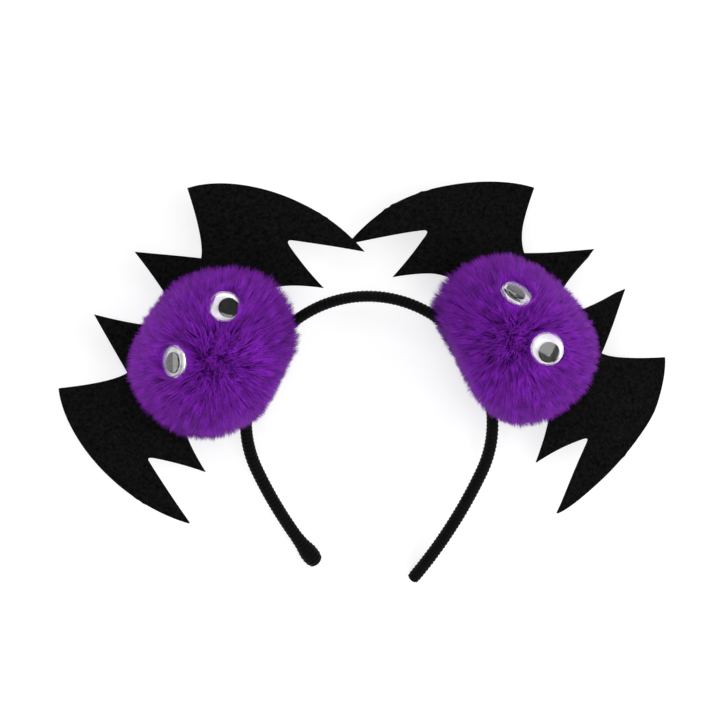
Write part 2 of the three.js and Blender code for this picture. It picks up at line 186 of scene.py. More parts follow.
# Cosine of the angle to the crown at which strands start to rest on the dome, and the share over which they
# all do
REST_START = 0.45
REST_EASE = 0.45

# Googly eye
EYE_RADIUS = 7.5 * MM
BACK_THICKNESS = 1 * MM
PUPIL_HEIGHT = 1.3 * MM
PUPIL_RADIUS = 4.65 * MM
PUPIL_THICKNESS = 0.9 * MM
DOME_RADIUS = 7.15 * MM
DOME_WALL = 0.35 * MM
DOME_SKIRT = 2.1 * MM
DOME_RISE = 1.8 * MM

# Stage, in metres: where the camera looks straight down, what the lights face, and each light's name,
# place, size and power
CAMERA_PLACE = (-0.00149, 0.01058)
LIT_PLACE = (0, 0, 0.03)
LIGHTS = (
    ("softbox", (0.1, 0.21, 1.35), (1.2, 0.67), 8.5),
    ("left card", (-1.25, -0.1, 0.42), (1.0, 0.8), 8),
    ("right card", (1.25, -0.2, 0.8), (0.9, 0.9), 10),
    ("front card", (0.2, -1.2, 0.8), (1.2, 0.7), 9),
    ("back card", (0.2, 1.3, 0.4), (1.2, 0.5), 8),
)
WORLD_STRENGTH = 0.11
FLOOR_HALF_WIDTH = 2.0

# One row for each bat: where its middle is on the table, which way its ears point, and how its sheet and
# fur lie, in the frame's own measures. tab: millimetres from the middle to the belly tab's end. fold: how
# far each ear leans in. wings: for the top and the bottom wing, how far its tip hangs, how far the wing
# reaches out, how much more of that it does at the ears' height, and how much more at the middle. fold and
# wings are shares of the half span. pom: offset of the pompom, and pressed: distance to its flattened side,
# shares of its radius. lobes: direction, rise, cosine at which the lobe ends, and how far it swells. laps:
# millimetres of each eye's back that fur may hide. crown: where the fur parts, in millimetres from the
# pompom's middle.
BATS = (
    {
        "side": "left", "hand": -1, "middle": (-66.986, 15.669), "up": 147.1, "tab": 17.02, "fold": 0,
        "wings": ((-0.026, 0, 0, 0), (0.092, 0, 0, 0)),
        "pom": (-0.0905, 0.0176), "pressed": 0.879, "pressed_turn": -82,
        "lobes": (
            (-29, -0.25, 0.75, 0.1), (90, 0.25, 0.6, -0.15), (-4, 0.35, 0.7, 0.16), (-118, 0, 0.85, -0.07),
        ),
        "laps": {"upper": 1.6, "lower": 1.2}, "crown": (5.1, -4.7), "seed": 11,
    },
    {
        "side": "right", "hand": 1, "middle": (69.647, 18.591), "up": 37.8, "tab": 16.7, "fold": 0.071,
        "wings": ((0.039, 0.065, -0.052, 0), (0.131, -0.02, 0, -0.046)),
        "pom": (-0.015, -0.005), "pressed": 0.719, "pressed_turn": -104,
        "lobes": (
            (-154, -0.25, 0.75, 0.11), (93, 0.25, 0.55, -0.17), (172, 0.35, 0.7, 0.11), (-70, 0, 0.8, -0.13),
        ),
        "laps": {"upper": 2.4, "lower": 0.4}, "crown": (-1.2, 1.2), "seed": 23,
    },
)


def unit(vectors):
    """Vectors divided by their own length."""
    return vectors / np.linalg.norm(vectors, axis=-1, keepdims=True)


def smooth(value):
    """The smooth step 3t² − 2t³ of a value held between 0 and 1."""
    t = np.clip(value, 0, 1)
    return t * t * (3 - 2 * t)


def add_mesh(name, points, loops, sides, uv=None, smooth_shade=True):
    """A new mesh object at the origin from corner places, the corners of its faces and the number of sides
    of each."""
    mesh = bpy.data.meshes.new(name)
    starts = np.concatenate([[0], np.cumsum(sides)[:-1]]).astype(np.int32)
    mesh.vertices.add(len(points))
    mesh.vertices.foreach_set("co", np.ascontiguousarray(points, np.float32).ravel())
    mesh.loops.add(len(loops))
    mesh.loops.foreach_set("vertex_index", np.ascontiguousarray(loops, np.int32))
    mesh.polygons.add(len(sides))
    mesh.polygons.foreach_set("loop_start", starts)
    mesh.polygons.foreach_set("loop_total", np.ascontiguousarray(sides, np.int32))
    mesh.polygons.foreach_set("use_smooth", np.full(len(sides), smooth_shade))
    if uv is not None:
        layer = mesh.uv_layers.new(name="UVMap")
        layer.data.foreach_set("uv", np.ascontiguousarray(uv[loops], np.float32).ravel())
    mesh.update(calc_edges=True)
    mesh.validate()
    thing = bpy.data.objects.new(name, mesh)
    bpy.context.scene.collection.objects.link(thing)
    return thing


def add_skin(name, rings, first, last, uv=None):
    """A closed skin: rings of points one after another, joined by four-sided faces, with a pole at each
    end.

    rings is (rings, points round, 3). Faces look outwards where the points of a ring turn anticlockwise as
    seen from the last pole towards the first.
    """
    count, around = rings.shape[:2]
    points = np.concatenate([rings.reshape(-1, 3), [first, last]])
    i = np.arange(count - 1)[:, None] * around
    k = np.arange(around)[None, :]
    nxt = (k + 1) % around
    quads = np.stack([i + k, i + nxt, i + around + nxt, i + around + k], -1).reshape(-1)
    k, nxt = k[0], nxt[0]
    first_index = count * around
    base = (count - 1) * around
    fan_first = np.stack([np.full(around, first_index), nxt, k], -1).reshape(-1)
    fan_last = np.stack([np.full(around, first_index + 1), base + k, base + nxt], -1).reshape(-1)
    loops = np.concatenate([quads, fan_first, fan_last])
    sides = np.concatenate([np.full((count - 1) * around, 4), np.full(2 * around, 3)])
    return add_mesh(name, points, loops, sides, uv)


def turned(profile, around):
    """A profile of (radius, height) rows turned about +Z: rings of points, and the two ends of the axis."""
    turn = 2 * math.pi * np.arange(around) / around
    radius = profile[1:-1, 0][:, None]
    height = np.broadcast_to(profile[1:-1, 1][:, None], (len(profile) - 2, around))
    rings = np.stack([radius * np.cos(turn), radius * np.sin(turn), height], -1)
    return rings, np.array([[0, 0, profile[0, 1]], [0, 0, profile[-1, 1]]])


def bezier(ends, steps):
    """Points along a line, a quadratic or a cubic curve given by two, three or four points."""
    t = np.linspace(0, 1, steps)[:, None]
    control = np.array(ends, float)
    order = len(control) - 1
    weights = [math.comb(order, k) * (1 - t) ** (order - k) * t**k for k in range(order + 1)]
    return sum(weight * point for weight, point in zip(weights, control))


# Band


def band_path(step):
    """Centre line of the band: points in its flat plane, its direction there and the distance from the left
    tip."""
    turn = math.radians(LEG_TURN)
    middle = BAND_HALF_WIDTH - LEG_TURN_RADIUS

    def leg(length):
        radius = length / math.radians(LEG_BEND)
        angle = np.radians(np.linspace(-LEG_TURN - LEG_BEND, -LEG_TURN, 80))
        x = middle + (LEG_TURN_RADIUS - radius) * math.cos(turn) + radius * np.cos(angle)
        y = (radius - LEG_TURN_RADIUS) * math.sin(turn) + radius * np.sin(angle)
        return np.stack([x, y], -1)

    bend = np.radians(np.linspace(-LEG_TURN, 0, 60))
    shoulder = np.stack([middle + LEG_TURN_RADIUS * np.cos(bend), LEG_TURN_RADIUS * np.sin(bend)], -1)
    arch = np.radians(np.linspace(0, 180, 400))
    top = np.stack([BAND_HALF_WIDTH * np.cos(arch), BAND_RISE * np.sin(arch)], -1)
    side = np.array([-1, 1])
    route = np.concatenate([
        leg(LEFT_LEG) * side,
        shoulder[1:] * side,
        top[::-1][1:],
        shoulder[::-1][1:],
        leg(RIGHT_LEG)[::-1][1:],
    ])
    run = np.concatenate([[0], np.cumsum(np.linalg.norm(np.diff(route, axis=0), axis=1))])
    at = np.linspace(0, run[-1], int(run[-1] / step) + 1)
    flat = np.stack([np.interp(at, run, route[:, 0]), np.interp(at, run, route[:, 1])], -1)
    return flat, unit(np.gradient(flat, axis=0)), at


def band_placer():
    """The move from the band's flat plane to where it lies: tipped about the line through its two tips, and
    stood on the table under the frame's own band."""
    flat = band_path(5 * MM)[0]
    left, right = flat[0], flat[-1]
    hinge = np.append(unit(right - left), 0)
    across = np.cross(UP, hinge)
    tilt = math.radians(BAND_TILT)
    lowest, highest = (np.array(corner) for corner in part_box("headband"))

    def place(points):
        offset = points - np.append(left, 0)
        along = offset @ hinge
        out = offset @ across
        lift = offset @ UP
        tipped = (
            along[..., None] * hinge
            + (out * math.cos(tilt) - lift * math.sin(tilt))[..., None] * across
            + (out * math.sin(tilt) + lift * math.cos(tilt))[..., None] * UP
        )
        return tipped + np.append(left, 0)

    bar = band_surface(place, 1.0 * MM, 10, 0)[0]
    shift = (lowest + highest) / 2 - (bar.min(axis=(0, 1)) + bar.max(axis=(0, 1))) / 2
    shift[2] = lowest[2] - bar[..., 2].min()
    return lambda points: place(points) + shift


def band_surface(place, step, around, rib):
    """Rings round the band. Each is an oval of the band's depth and thickness, swelled at the knob, with
    the slanted steps of a ribbon wound round it: the radius rises over each turn of the ribbon and drops
    where the next begins. Returned with each point's distance along the band and its share of the way
    across its turn of ribbon."""
    settings = bpy.context.scene.bat_headband_band
    flat, direction, at = band_path(step)
    above_leg = np.minimum(at - LEFT_LEG, at[-1] - RIGHT_LEG - at)
    arc = smooth(above_leg / BAND_RISE)
    thickness = (settings.leg_thickness + (settings.thickness - settings.leg_thickness) * arc) * MM
    depth = settings.depth * MM
    unit_of_ends = settings.leg_thickness * MM
    left = np.array(KNOB_END)
    right = np.array(BLUNT_END)
    size = np.interp(at, left[:, 0] * unit_of_ends, left[:, 1])
    size = size * np.interp(at[-1] - at, right[:, 0] * unit_of_ends, right[:, 1])
    turn = 2 * math.pi * np.arange(around) / around
    wound = (at[:, None] / (settings.ribbon_pitch * MM) + settings.slant * np.sin(turn)[None, :]) % 1
    rise = wound * smooth((1 - wound) / STEP_DROP) - STEP_SINK
    across = np.cos(turn)[None, :] * ((thickness / 2 * size)[:, None] + rib * rise)
    up = np.sin(turn)[None, :] * ((depth / 2 * size)[:, None] + rib * rise)
    points = np.stack([
        flat[:, None, 0] - direction[:, None, 1] * across,
        flat[:, None, 1] + direction[:, None, 0] * across,
        up,
    ], -1)
    return place(points), np.broadcast_to(at[:, None], wound.shape), wound


def number_setting(name, description, default):
    """A number that a user can change."""
    return bpy.props.FloatProperty(name=name, description=description, default=default)


def colour_setting(name, description, default):
    """A colour that a user can change."""
    return bpy.props.FloatVectorProperty(
        name=name, description=description, subtype="COLOR", size=3, default=default, min=0, max=1)


class BandSettings(bpy.types.PropertyGroup):
    thickness: number_setting("Thickness", "Width of the band's arc seen from above, in millimetres", 5.2)
    leg_thickness: number_setting(
        "Leg thickness", "Width of the band's legs seen from above, in millimetres", 6.0)
    depth: number_setting("Depth", "Height of the band's section, in millimetres", 6.6)
    ribbon_pitch: number_setting(
        "Ribbon pitch", "Distance from one turn of the wound ribbon to the next, in millimetres", 1.9)
    slant: number_setting(
        "Slant", "How far the ribbon's edge runs along the band over a quarter turn, in pitches", 0.55)
    rib: number_setting("Rib", "Height of the step from one turn of ribbon to the next, in millimetres", 0.45)
    colour: colour_setting("Ribbon colour", "Colour of the ribbon", (0.0022, 0.0020, 0.0020))


class FeltSettings(bpy.types.PropertyGroup):
    thickness: number_setting("Thickness", "Thickness of the felt, in millimetres", 2.0)
    wave: number_setting("Wave", "Height of the slow waves in the wings, in millimetres", 0.6)
    colour: colour_setting("Felt colour", "Colour of the felt", (0.0026, 0.0025, 0.0024))


class FurSettings(bpy.types.PropertyGroup):
    strands: bpy.props.IntProperty(
        name="Strands", description="Number of strands on one pompom", default=46800)
    locks: bpy.props.IntProperty(
        name="Locks", description="Number of locks that the strands of one pompom gather into", default=4000)
    width: number_setting("Strand width", "Half width of a strand at its thickest, in millimetres", 0.16)
    lean: number_setting("Lean", "How far the strands near the crown lean away from it, in radians", 0.24)
    # Painted shade: the dark root colour stands for the shade deep in the fur
    painted_shade_root_colour: colour_setting("Root colour", "Colour at the root of a strand", (0.11, 0.003, 0.28))
    colour: colour_setting("Fur colour", "Colour along most of a strand", (0.223, 0.0085, 0.46))
    # Painted sheen: the paler tip colour stands for light caught by the thin tips
    painted_sheen_tip_colour: colour_setting("Tip colour", "Colour at the tip of a strand", (0.29, 0.032, 0.53))


class EyeSettings(bpy.types.PropertyGroup):
    white: colour_setting("White", "Colour of the eye's back", (0.56, 0.53, 0.58))
    black: colour_setting("Black", "Colour of the pupil", (0.004, 0.004, 0.004))


class StageSettings(bpy.types.PropertyGroup):
    camera_height: bpy.props.FloatProperty(
        name="Camera height", description="Height of the camera over the table", default=1.2, unit="LENGTH")
    focal: bpy.props.FloatProperty(
        name="Focal length", description="Focal length of the camera, in millimetres", default=128.5)
    floor: colour_setting("Floor colour", "Colour of the floor", (0.5, 0.5, 0.5))
    floor_glow: bpy.props.FloatProperty(
        name="Floor glow", description="Light that the floor gives off, so that shadows on it stay faint",
        default=0.62, min=0)


# Materials


def four(colour):
    """A colour with its alpha."""
    return (*colour, 1.0)


def set_values(node, values):
    """Sets a node's own options and the plain values of its inputs, whose names have _ for a space."""
    for name, value in values.items():
        if hasattr(node, name):
            setattr(node, name, value)
        else:
            node.inputs[name.replace("_", " ")].default_value = value
    return node


def uneven_group():
    """The node group for what is mottled: noise at a place, as it is and spread from low to high between
    its start and its end."""
    name = "uneven"
    if name in bpy.data.node_groups:
        return bpy.data.node_groups[name]
    group = bpy.data.node_groups.new(name, "ShaderNodeTree")
    given = group.nodes.new("NodeGroupInput")
    made = group.nodes.new("NodeGroupOutput")
    noise = group.nodes.new("ShaderNodeTexNoise")
    spread = group.nodes.new("ShaderNodeMapRange")
    inputs = (
        ("Place", "Vector", noise, "Vector"),
        ("Scale", "Float", noise, "Scale"),
        ("Detail", "Float", noise, "Detail"),
        ("Roughness", "Float", noise, "Roughness"),
        ("Start", "Float", spread, "From Min"),
        ("End", "Float", spread, "From Max"),
        ("Low", "Float", spread, "To Min"),
        ("High", "Float", spread, "To Max"),
    )
    for value, kind, node, socket in inputs:
        group.interface.new_socket(name=value, in_out="INPUT", socket_type=f"NodeSocket{kind}")
        group.links.new(given.outputs[value], node.inputs[socket])
    group.links.new(noise.outputs["Fac"], spread.inputs["Value"])
    for value, output in (("Noise", noise.outputs["Fac"]), ("Value", spread.outputs["Result"])):
        group.interface.new_socket(name=value, in_out="OUTPUT", socket_type="NodeSocketFloat")
        group.links.new(output, made.inputs[value])
    return group


class Finish:
    """A material on a Principled shader, and the steps that its finish is made of."""

    def __init__(self, name, **values):
        self.material = bpy.data.materials.new(name)
        self.material.use_nodes = True
        self.tree = self.material.node_tree
        self.shader = set_values(self.tree.nodes["Principled BSDF"], values)

    def node(self, kind, **values):
        """A new node with its options and plain values."""
        return set_values(self.tree.nodes.new(kind), values)

    def link(self, output, node, name):
        """Feeds an output to a node's input."""
        self.tree.links.new(output, node.inputs[name])

    def own_map(self):
        """The piece's own map, and its two values."""
        place = self.node("ShaderNodeUVMap", uv_map="UVMap").outputs["UV"]
        split = self.node("ShaderNodeSeparateXYZ")
        self.link(place, split, "Vector")
        return place, split.outputs["X"], split.outputs["Y"]

    def uneven(self, scale, detail, low=0.0, high=1.0, start=0.3, end=0.7, roughness=0.5):
        """Noise on the object, and the same spread from low to high."""
        place = self.node("ShaderNodeTexCoord").outputs["Object"]
        group = self.node(
            "ShaderNodeGroup", node_tree=uneven_group(), Scale=scale, Detail=detail, Roughness=roughness,
            Start=start, End=end, Low=low, High=high)
        self.link(place, group, "Place")
        return group.outputs["Noise"], group.outputs["Value"]

    def spread(self, value, low, high):
        """A value from 0 to 1, spread from low to high."""
        made = self.node("ShaderNodeMapRange", To_Min=low, To_Max=high)
        self.link(value, made, "Value")
        return made.outputs["Result"]

    def ramp(self, value, stops, interpolation="LINEAR"):
        """The colour that a value picks from stops of (position, colour)."""
        made = self.node("ShaderNodeValToRGB")
        made.color_ramp.interpolation = interpolation
        elements = made.color_ramp.elements
        for element, (position, colour) in zip(elements, (stops[0], stops[-1])):
            element.position = position
            element.color = four(colour)
        for position, colour in stops[1:-1]:
            elements.new(position).color = four(colour)
        self.link(value, made, "Fac")
        return made.outputs["Color"]

    def multiplied(self, colour, shade):
        """A colour darkened or brightened by a shade. The colour is an output or a plain one."""
        made = self.node("ShaderNodeMixRGB", blend_type="MULTIPLY", Fac=1.0)
        if isinstance(colour, bpy.types.NodeSocket):
            self.link(colour, made, "Color1")
        else:
            made.inputs["Color1"].default_value = four(colour)
        self.link(shade, made, "Color2")
        return made.outputs["Color"]

    def bump(self, height, strength, distance):
        """Raises the surface by a height, over a distance in metres."""
        made = self.node("ShaderNodeBump", Strength=strength, Distance=distance)
        self.link(height, made, "Height")
        self.link(made.outputs["Normal"], self.shader, "Normal")


def fur_material(settings):
    """Painted shade at the root, bright violet along the strand and a paler tip that is painted sheen, a
    little different on each strand and in patches of painted light and shade."""
    finish = Finish("violet fur", Roughness=0.5, Specular_IOR_Level=0.12)
    _, along, own_value = finish.own_map()
    # The ramp paints shade at the root and a paler sheen at the tip
    stops = ((0.3, settings.painted_shade_root_colour), (0.68, settings.colour), (0.97, settings.painted_sheen_tip_colour))
    colour = finish.ramp(along, stops, "B_SPLINE")
    # Patches of painted light and shade, standing for the shading of tufts where the fur parts and gathers
    _, painted_tuft_shade = finish.uneven(scale=170.0, detail=3.0, low=0.72, high=1.2)
    both = finish.node("ShaderNodeMath", operation="MULTIPLY")
    finish.link(finish.spread(own_value, 0.42, 1.6), both, 0)
    finish.link(painted_tuft_shade, both, 1)
    finish.link(finish.multiplied(colour, both.outputs["Value"]), finish.shader, "Base Color")
    return finish.material


def core_material(settings):
    """The matted roots deep in the fur: dark violet that is painted shade, mottled with brighter flecks."""
    finish = Finish("fur core", Roughness=0.8, Specular_IOR_Level=0.1)
    flecks, _ = finish.uneven(scale=900.0, detail=4.0)
    # Painted shade: the root colour darkened further, for the shade deep inside the fur
    dark = [0.6 * part for part in settings.painted_shade_root_colour]
    finish.link(finish.ramp(flecks, ((0.35, dark), (0.7, settings.colour))), finish.shader, "Base Color")
    return finish.material


def felt_material(settings):
    """Pressed black wool: fine matted fibres as shade and bump, and a soft sheen."""
    finish = Finish(
        "black felt", Roughness=0.95, Specular_IOR_Level=0.04, Sheen_Weight=0.008, Sheen_Roughness=0.5)
    matted, shade = finish.uneven(
        scale=620.0, detail=8.0, low=0.0, high=3.2, start=0.36, end=0.66, roughness=0.75)
    finish.link(finish.multiplied(settings.colour, shade), finish.shader, "Base Color")
    finish.bump(matted, 0.6, 0.3 * MM)
    return finish.material


def ribbon_material(settings):
    """Black ribbon with fine cross threads, with painted light and shade over each turn: a painted highlight
    along its raised part and painted shade at the step where one turn of it ends and the next begins."""
    finish = Finish("black ribbon", Roughness=0.6, Specular_IOR_Level=0.06)
    place, _, across_turn = finish.own_map()
    scale = finish.node("ShaderNodeMapping", Scale=(420.0, 2.0, 1.0))
    finish.link(place, scale, "Vector")
    threads = finish.node("ShaderNodeTexWave", bands_direction="X", Scale=1.0, Distortion=0.6)
    finish.link(scale.outputs["Vector"], threads, "Vector")
    finish.bump(threads.outputs["Fac"], 0.5, 0.2 * MM)
    # Painted light and shade by the share of each turn: a painted highlight along its raised part, painted
    # shade at the step
    painted_step_shade = finish.ramp(across_turn, [(at, (level,) * 3) for at, level in RIBBON_PAINTED_SHADES])
    tint = finish.multiplied(settings.colour, finish.spread(threads.outputs["Fac"], 0.7, 1.3))
    finish.link(finish.multiplied(tint, painted_step_shade), finish.shader, "Base Color")
    return finish.material


def gloss_material(name, colour, scale, low, high, specular):
    """Moulded gloss plastic, whose roughness drifts from low to high."""
    finish = Finish(name, Base_Color=four(colour), Specular_IOR_Level=specular)
    _, roughness = finish.uneven(scale, 3.0, low, high)
    finish.link(roughness, finish.shader, "Roughness")
    return finish.material


def dome_material():
    """Clear plastic that casts no shadow."""
    finish = Finish("clear dome", Base_Color=(1, 1, 1, 1), Transmission_Weight=1.0, Roughness=0.02, IOR=1.46)
    path = finish.node("ShaderNodeLightPath")
    through = finish.node("ShaderNodeBsdfTransparent")
    mix = finish.node("ShaderNodeMixShader")
    finish.link(path.outputs["Is Shadow Ray"], mix, "Fac")
    finish.link(finish.shader.outputs["BSDF"], mix, 1)
    finish.link(through.outputs["BSDF"], mix, 2)
    finish.link(mix.outputs["Shader"], finish.tree.nodes["Material Output"], "Surface")
    return finish.material


# Felt sheet


def outline_heights(bat):
    """How high the bat's edge stands over each distance from its middle line: rows of distance and height
    of the upper edge and of the lower edge, and the furthest point of the wing."""
    def scaled(points):
        tall = np.where(points[:, 1] > 0, EAR_HEIGHT, WING_DROP)
        return np.stack([points[:, 0] * WING_HALF_SPAN, points[:, 1] * tall], -1)

    def edge(curves):
        return [scaled(bezier(curve, CURVE_POINTS)) for curve in curves]

    wing = bezier(scaled(np.array(WING_EDGE)), EDGE_POINTS)
    far = int(np.argmax(wing[:, 0]))
    upper = np.concatenate(edge(UPPER_CURVES) + [wing[: far + 1]])
    tab = np.array([[0, -bat["tab"] * MM], [TAB_HALF_WIDTH * WING_HALF_SPAN, -bat["tab"] * MM]])
    lower = np.concatenate([tab] + edge(LOWER_CURVES) + [wing[far:][::-1]])
    return upper, lower, wing[far]


def crease_depth(width, lean):
    """How deep the crease sinks where the sheet's half beside it, of a given width, is drawn in by the
    lean: the drop of a circle's arc, sqrt(2 w l - l^2), eased to start without a step."""
    lean = np.maximum(0, lean)
    return np.sqrt(np.maximum(0, 2 * width * lean - lean**2)) * lean / (lean + CREASE_EASE)


def on_sheet(bat, x, y):
    """Where a point of the flat sheet lies once the sheet is folded, shifted and hung, seen from its
    middle. The fold leans the ears in towards each other and sinks both sides of the crease, and starts
    gently. Each wing hangs by the square of the distance from the middle line, and slides out by an even
    part, a part that grows with the height and a bow round the middle height."""
    side = np.sign(x)
    out = np.abs(x)
    wing = np.where((side * bat["hand"] < 0)[..., None], *np.array(bat["wings"]))
    droop, slide, turn, bow = np.moveaxis(wing, -1, 0) * WING_HALF_SPAN
    fold_width = FOLD_HALF_WIDTH * WING_HALF_SPAN
    share = (y / EAR_HEIGHT - FOLD_START) / (1 - FOLD_START) + FOLD_OPENING
    share = FOLD_SOFTNESS * np.logaddexp(0, share / FOLD_SOFTNESS) - FOLD_OPENING
    lean = bat["fold"] * WING_HALF_SPAN * share
    beside = np.minimum(1, out / fold_width)
    sunk = crease_depth(fold_width, lean)
    shift = slide + turn * y / EAR_HEIGHT + bow * np.maximum(0, 1 - (y / WING_DROP) ** 2) ** 1.5
    shift = shift * smooth((out / WING_HALF_SPAN - SHIFT_START) / (SHIFT_END - SHIFT_START))
    droop = droop * (out / WING_HALF_SPAN) ** 2
    return side * (out - beside * lean + shift), y, -droop - beside * sunk


def sheet_height(bat, x, y):
    """Height of the sheet at a place seen from the pompom's middle, near enough for the fur to part round
    it."""
    fold_width = FOLD_HALF_WIDTH * WING_HALF_SPAN
    lean = bat["fold"] * WING_HALF_SPAN * np.maximum(0, (y / EAR_HEIGHT - FOLD_START) / (1 - FOLD_START))
    sunk = crease_depth(fold_width, lean)
    top, bottom = (wing[0] * WING_HALF_SPAN for wing in bat["wings"])
    droop = np.where(x * bat["hand"] < 0, top, bottom) * (x / WING_HALF_SPAN) ** 2
    return -droop - np.minimum(1, np.abs(x) / fold_width) * sunk


def pom_offset(bat):
    """From the bat's middle to the middle of its pompom."""
    return np.array([*bat["pom"], 0]) * POM_RADIUS


def turn_of(bat):
    """Cosine and sine of the turn from a bat's own frame, +Y towards its ears, to that of the whole
    headband."""
    turn = math.radians(bat["up"] - 90)
    return math.cos(turn), math.sin(turn)


def to_world(bat, points):
    """From a bat's own frame to the frame of the whole headband."""
    c, s = turn_of(bat)
    x, y, z = np.moveaxis(points, -1, 0)
    mx, my = bat["middle"]
    return np.stack([c * x - s * y + mx * MM, s * x + c * y + my * MM, z + POM_HEIGHT], -1)


def to_bat(bat, points):
    """From the frame of the whole headband to a bat's own frame."""
    c, s = turn_of(bat)
    mx, my = bat["middle"]
    x, y = points[..., 0] - mx * MM, points[..., 1] - my * MM
    return np.stack([c * x + s * y, -s * x + c * y, points[..., 2] - POM_HEIGHT], -1)


def felt_columns(tip):
    """Distances from the middle line at which the sheet has a column of points: at each corner of the
    outline, no more than a step apart between them, and closer towards the end of the wing, where the edge
    turns down."""
    corners = {0.0, CORE_HOLE, TAB_HALF_WIDTH * WING_HALF_SPAN, tip[0]}
    for curve in UPPER_CURVES + LOWER_CURVES + (WING_EDGE[:1] + WING_EDGE[-1:],):
        corners.update(point[0] * WING_HALF_SPAN for point in (curve[0], curve[-1]))
    corners = sorted(corners)
    columns = [0.0]
    for start, end in zip(corners, corners[1:]):
        steps = max(2, int(math.ceil((end - start) / FELT_STEP)))
        share = np.linspace(0, 1, steps + 1)[1:]
        if end == tip[0]:
            share = 1 - (1 - np.linspace(0, 1, END_COLUMNS + 1)[1:]) ** 2
        columns.extend(start + (end - start) * share)
    return np.array(columns)


def felt_sheet(bat, settings):
    """The flat bat as columns of points, in an upper and a lower half that meet beside the round hole for
    the fur's core, then laid as the sheet lies, with slow waves: a sine across times a cosine along,
    growing outwards. Returned with the corners of its faces, their number and the flat points."""
    upper, lower, tip = outline_heights(bat)
    columns = felt_columns(tip)
    x = np.concatenate([-columns[:0:-1], columns])
    out = np.abs(x)
    top = np.interp(out, upper[:, 0], upper[:, 1])
    bottom = np.interp(out, lower[:, 0], lower[:, 1])
    hole = np.sqrt(np.maximum(0, CORE_HOLE**2 - out**2))
    level = np.clip(tip[1] * smooth((out / tip[0] - 0.8) / 0.2), bottom, top)
    halves = []
    for edge, start in ((top, np.where(hole > 0, hole, level)), (bottom, np.where(hole > 0, -hole, level))):
        share = np.linspace(0, 1, FELT_ROWS)[:, None]
        y = start + (edge - start) * share
        halves.append(np.stack([np.broadcast_to(x, y.shape), y], -1))
    flat = np.concatenate([halves[1][::-1], halves[0]])
    count, across = flat.shape[:2]
    i = np.arange(count - 1)[:, None] * across
    k = np.arange(across - 1)[None, :]
    quads = np.stack([i + k, i + k + 1, i + across + k + 1, i + across + k], -1)
    quads = np.delete(quads, FELT_ROWS - 1, axis=0).reshape(-1, 4)
    points, index = np.unique(np.round(flat.reshape(-1, 2), 8), axis=0, return_inverse=True)
    quads = index.reshape(-1)[quads]
    loops, sides = tidy_faces(quads)
    x, y = points.T
    far = smooth((np.hypot(x, y) - WAVE_START) / WAVE_GROWTH)
    wave = np.sin(x / WAVE_ACROSS + bat["seed"]) * np.cos(y / WAVE_ALONG + 1.3)
    laid = np.stack(on_sheet(bat, x, y), -1)
    laid[:, 2] += far * wave * settings.wave * MM
    return to_world(bat, laid), loops, sides, points


def tidy_faces(quads):
    """Four-sided faces with doubled corners made three-sided, and those with fewer corners left out."""
    same = quads == np.roll(quads, -1, axis=1)
    kept = quads[~same.any(axis=1)]
    slim = quads[same.sum(axis=1) == 1]
    keep = ~(slim == np.roll(slim, -1, axis=1))
    triangles = slim[keep].reshape(-1, 3)
    loops = np.concatenate([kept.reshape(-1), triangles.reshape(-1)])
    return loops, np.concatenate([np.full(len(kept), 4), np.full(len(triangles), 3)])


# Fur


def fur_reach(bat, direction):
    """How far the fur reaches in a direction, as a share of the pompom's radius: flattened where it leans
    on the band, with lobes that swell or press it in by the square of how near a direction is to the lobe's
    own."""
    press_turn = math.radians(bat["pressed_turn"])
    press = np.array([math.cos(press_turn), math.sin(press_turn), 0])
    reach = 1 / np.maximum(1, direction @ press / bat["pressed"])
    for toward, rise, edge, swell in bat["lobes"]:
        turn = math.radians(toward)
        middle = unit(np.array([math.cos(turn), math.sin(turn), rise]))
        near = np.maximum(0, direction @ middle - edge) / (1 - edge)
        reach = reach + swell * near**2
    return reach


def even_directions(count, random):
    """Directions spread over a ball from its top down to near its foot, closer together on its upper half:
    steps of height that widen downwards, each turned on by the golden angle, and shaken by half of their
    spacing."""
    share = (np.arange(count) + 0.5) / count
    z = 1 - 1.97 * (0.68 * share + 0.32 * share**3)
    flat = np.sqrt(1 - z**2)
    turn = np.arange(count) * GOLDEN_ANGLE
    points = np.stack([flat * np.cos(turn), flat * np.sin(turn), z], -1)
    spacing = math.sqrt(4 * math.pi / count)
    return unit(points + random.normal(0, 0.5 * spacing, points.shape))


def core_reach(bat, direction, band):
    """Radius of the pompom's dark core in a direction: round, a little further out at the crown, and drawn
    in where the band runs past it and under each eye. A ray from the middle is cut where it comes within
    the core's clearance of a point of the band's centre line, and shortened in three steps to a cone that
    opens from under the eye."""
    reach = np.full(direction.shape[:-1], CORE_RADIUS) * np.minimum(1, fur_reach(bat, direction))
    reach = reach + CORE_CROWN * smooth((direction @ crown_direction(bat) - 0.8) / 0.2)
    for point in band:
        along = direction @ point
        apart = np.maximum(0, point @ point - along**2)
        hit = (along > 0) & (apart < CORE_BAND_GAP**2)
        cut = along - np.sqrt(np.maximum(0, CORE_BAND_GAP**2 - apart))
        reach = np.where(hit, np.minimum(reach, cut), reach)
    pom = pom_offset(bat)
    origin = to_bat(bat, np.zeros(3))
    for _, place, axis in eye_frames(bat["side"]):
        place = to_bat(bat, place) - pom
        axis = to_bat(bat, axis) - origin
        facing = direction @ axis
        for _ in range(3):
            offset = direction * reach[..., None] - place
            height = offset @ axis
            apart = np.linalg.norm(offset - height[..., None] * axis, axis=-1)
            allowed = CORE_EYE_SLOPE * np.maximum(0, apart - CORE_EYE_REACH) - CORE_EYE_GAP
            over = (facing > 0.3) & (height > allowed) & (apart < 14 * MM)
            reach = np.where(over, reach - (height - allowed) / np.maximum(facing, 0.3), reach)
    return np.maximum(reach, CORE_LEAST)


